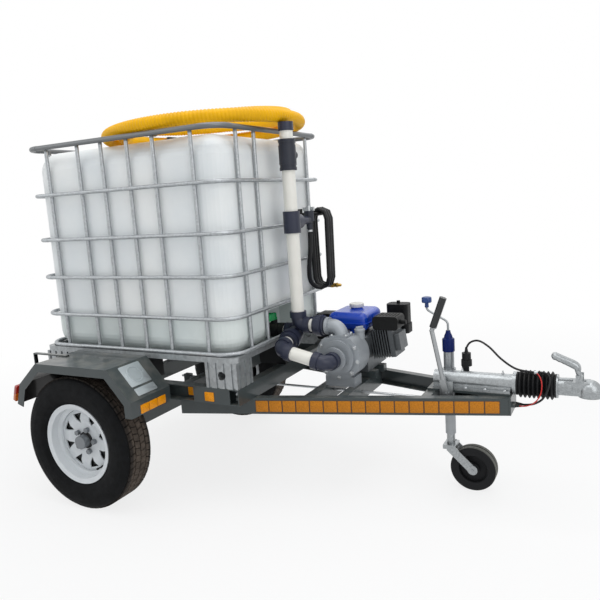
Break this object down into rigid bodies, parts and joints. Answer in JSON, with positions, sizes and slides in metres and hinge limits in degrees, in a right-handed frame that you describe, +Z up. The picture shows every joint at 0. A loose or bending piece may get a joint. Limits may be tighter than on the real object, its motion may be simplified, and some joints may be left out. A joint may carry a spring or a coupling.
{
  "type": "water bowser trailer",
  "caption": "Wheeled water bowser: caged tank on a single-axle braked trailer with petrol pump, standpipe, coiled hoses, overrun coupling and jockey wheel.",
  "frame": {"origin": "on the ground below the middle of the length and width", "axes": "+X forward to the coupling, +Y to the left, +Z up"},
  "size_m": [2.6276, 1.53, 1.8675],
  "materials": {
    "chassis_paint": "satin paint",
    "galvanised": "hot-dip zinc",
    "bottle": "translucent white",
    "black_plastic": "moulded",
    "green_plastic": "moulded",
    "white_pipe": "smooth",
    "pipe_fitting": "moulded",
    "cast_alloy": "as cast",
    "engine_alloy": "as cast",
    "blue_paint": "gloss paint",
    "dark_plastic": "moulded",
    "black_metal": "heat-proof paint",
    "steel": "turned",
    "bellows_rubber": "moulded",
    "tyre": "dusty",
    "rim_paint": "gloss paint",
    "lamp": "moulded lens",
    "wheel_rubber": "moulded",
    "yellow_hose": "ribbed",
    "black_hose": "smooth",
    "red_cable": "sheathed"
  },
  "bodies": {
    "chassis": {"side_rails": "chassis_paint", "cross_members": "chassis_paint", "drawbar_rails": "chassis_paint", "pump_bearers": "chassis_paint", "mudguards": "chassis_paint", "tail_lamps": "lamp", "axle_tube": "galvanised", "pallet_deck": "galvanised", "pallet_feet": "galvanised", "pallet_blocks": "black_plastic", "cage_sides": "galvanised", "cage_ends": "galvanised", "tank_bottle": "bottle", "outlet_valve_body": "black_plastic", "white_pipes": "white_pipe", "pipe_elbows": "pipe_fitting", "discharge_bend": "cast_alloy", "standpipe_tee": "pipe_fitting", "top_valve_body": "pipe_fitting", "branch_valve_body": "black_plastic", "standpipe_cap": "pipe_fitting", "hose_hook": "galvanised", "pump_casing": "cast_alloy", "engine_block": "engine_alloy", "fuel_tank": "blue_paint", "air_cleaner": "dark_plastic", "muffler": "black_metal", "engine_covers": "dark_plastic", "coupling_housing": "galvanised", "bellows": "bellows_rubber", "cable_plug": "black_plastic", "jockey_clamp": "galvanised", "jockey_outer_tube": "galvanised", "yellow_hose": "yellow_hose", "hose_couplings": "cast_alloy", "black_hose": "black_hose", "light_cable": "black_hose", "breakaway_cable": "red_cable"},
    "arm_right": {"swing_arm_right": "galvanised"},
    "arm_left": {"swing_arm_left": "galvanised"},
    "wheel_right": {"tyre_right": "tyre", "rim_right": "rim_paint", "hub_right": "galvanised"},
    "wheel_left": {"tyre_left": "tyre", "rim_left": "rim_paint", "hub_left": "galvanised"},
    "lid": {"tank_lid": "black_plastic"},
    "outlet_handle": {"outlet_valve_handle": "green_plastic"},
    "top_handle": {"top_valve_handle": "black_plastic"},
    "branch_lever": {"branch_valve_lever": "black_plastic"},
    "rotor": {"pump_rotor": "steel"},
    "draw": {"drawtube": "steel", "coupling_head": "galvanised"},
    "head_handle": {"coupling_handle": "galvanised"},
    "handbrake": {"handbrake_lever": "black_metal"},
    "rod": {"brake_rod": "steel"},
    "crank": {"jockey_crank": "black_metal"},
    "jockey_slide": {"jockey_inner_tube": "steel"},
    "fork": {"jockey_fork": "steel"},
    "caster": {"jockey_wheel": "wheel_rubber"}
  },
  "joints": [
    {"name": "suspension_right", "type": "hinge", "parent": "chassis", "child": "arm_right", "pos_m": [-0.7515, -0.482, 0.39], "axis": [0, 1, 0], "range_deg": [-5, 12], "stiffness_Nm_per_rad": 9000, "springref_deg": -1.72},
    {"name": "suspension_left", "type": "hinge", "parent": "chassis", "child": "arm_left", "pos_m": [-0.7515, 0.482, 0.39], "axis": [0, 1, 0], "range_deg": [-5, 12], "stiffness_Nm_per_rad": 9000, "springref_deg": -1.72},
    {"name": "wheel_right_spin", "type": "hinge", "parent": "arm_right", "child": "wheel_right", "pos_m": [-0.8915, -0.669, 0.325], "axis": [0, 1, 0], "continuous": true},
    {"name": "wheel_left_spin", "type": "hinge", "parent": "arm_left", "child": "wheel_left", "pos_m": [-0.8915, 0.669, 0.325], "axis": [0, 1, 0], "continuous": true},
    {"name": "lid_turn", "type": "hinge", "parent": "chassis", "child": "lid", "pos_m": [-0.7135, 0, 1.735], "axis": [0, 0, 1], "range_deg": [0, 720]},
    {"name": "outlet_valve_turn", "type": "hinge", "parent": "chassis", "child": "outlet_handle", "pos_m": [-0.2055, 0, 0.8], "axis": [0, 0, 1], "range_deg": [0, 90]},
    {"name": "top_valve_turn", "type": "hinge", "parent": "chassis", "child": "top_handle", "pos_m": [-0.0315, -0.06, 1.604], "axis": [0, 1, 0], "range_deg": [0, 90]},
    {"name": "branch_valve_turn", "type": "hinge", "parent": "chassis", "child": "branch_lever", "pos_m": [-0.0315, 0.126, 1.334], "axis": [0, 0, 1], "range_deg": [0, 90]},
    {"name": "rotor_spin", "type": "hinge", "parent": "chassis", "child": "rotor", "pos_m": [0.1935, 0, 0.65], "axis": [0, 1, 0], "continuous": true},
    {"name": "overrun_slide", "type": "slide", "parent": "chassis", "child": "draw", "axis": [1, 0, 0], "range_m": [-0.08, 0], "deforming": ["bellows"]},
    {"name": "coupling_handle_lift", "type": "hinge", "parent": "draw", "child": "head_handle", "pos_m": [1.2285, 0, 0.601], "axis": [0, 1, 0], "range_deg": [0, 35]},
    {"name": "handbrake_pull", "type": "hinge", "parent": "chassis", "child": "handbrake", "pos_m": [0.6885, -0.064, 0.5], "axis": [0, 1, 0], "range_deg": [0, 50]},
    {"name": "brake_rod_slide", "type": "slide", "parent": "chassis", "child": "rod", "axis": [1, 0, 0], "range_m": [-0.023, 0]},
    {"name": "jockey_crank_turn", "type": "hinge", "parent": "chassis", "child": "crank", "pos_m": [0.6685, 0.08, 0.82], "axis": [0, 0, 1], "range_deg": [-2880, 7200]},
    {"name": "jockey_extend", "type": "slide", "parent": "chassis", "child": "jockey_slide", "axis": [0, 0, -1], "range_m": [-0.048, 0.12]},
    {"name": "jockey_swivel", "type": "hinge", "parent": "jockey_slide", "child": "fork", "pos_m": [0.6685, 0.08, 0.204], "axis": [0, 0, 1], "continuous": true},
    {"name": "jockey_wheel_spin", "type": "hinge", "parent": "fork", "child": "caster", "pos_m": [0.7735, 0.08, 0.105], "axis": [0, 1, 0], "continuous": true}
  ],
  "couplings": [
    {"joint": "brake_rod_slide", "follows": "handbrake_pull", "m_per_rad": -0.0263},
    {"joint": "jockey_extend", "follows": "jockey_crank_turn", "m_per_rad": 0.000954}
  ]
}
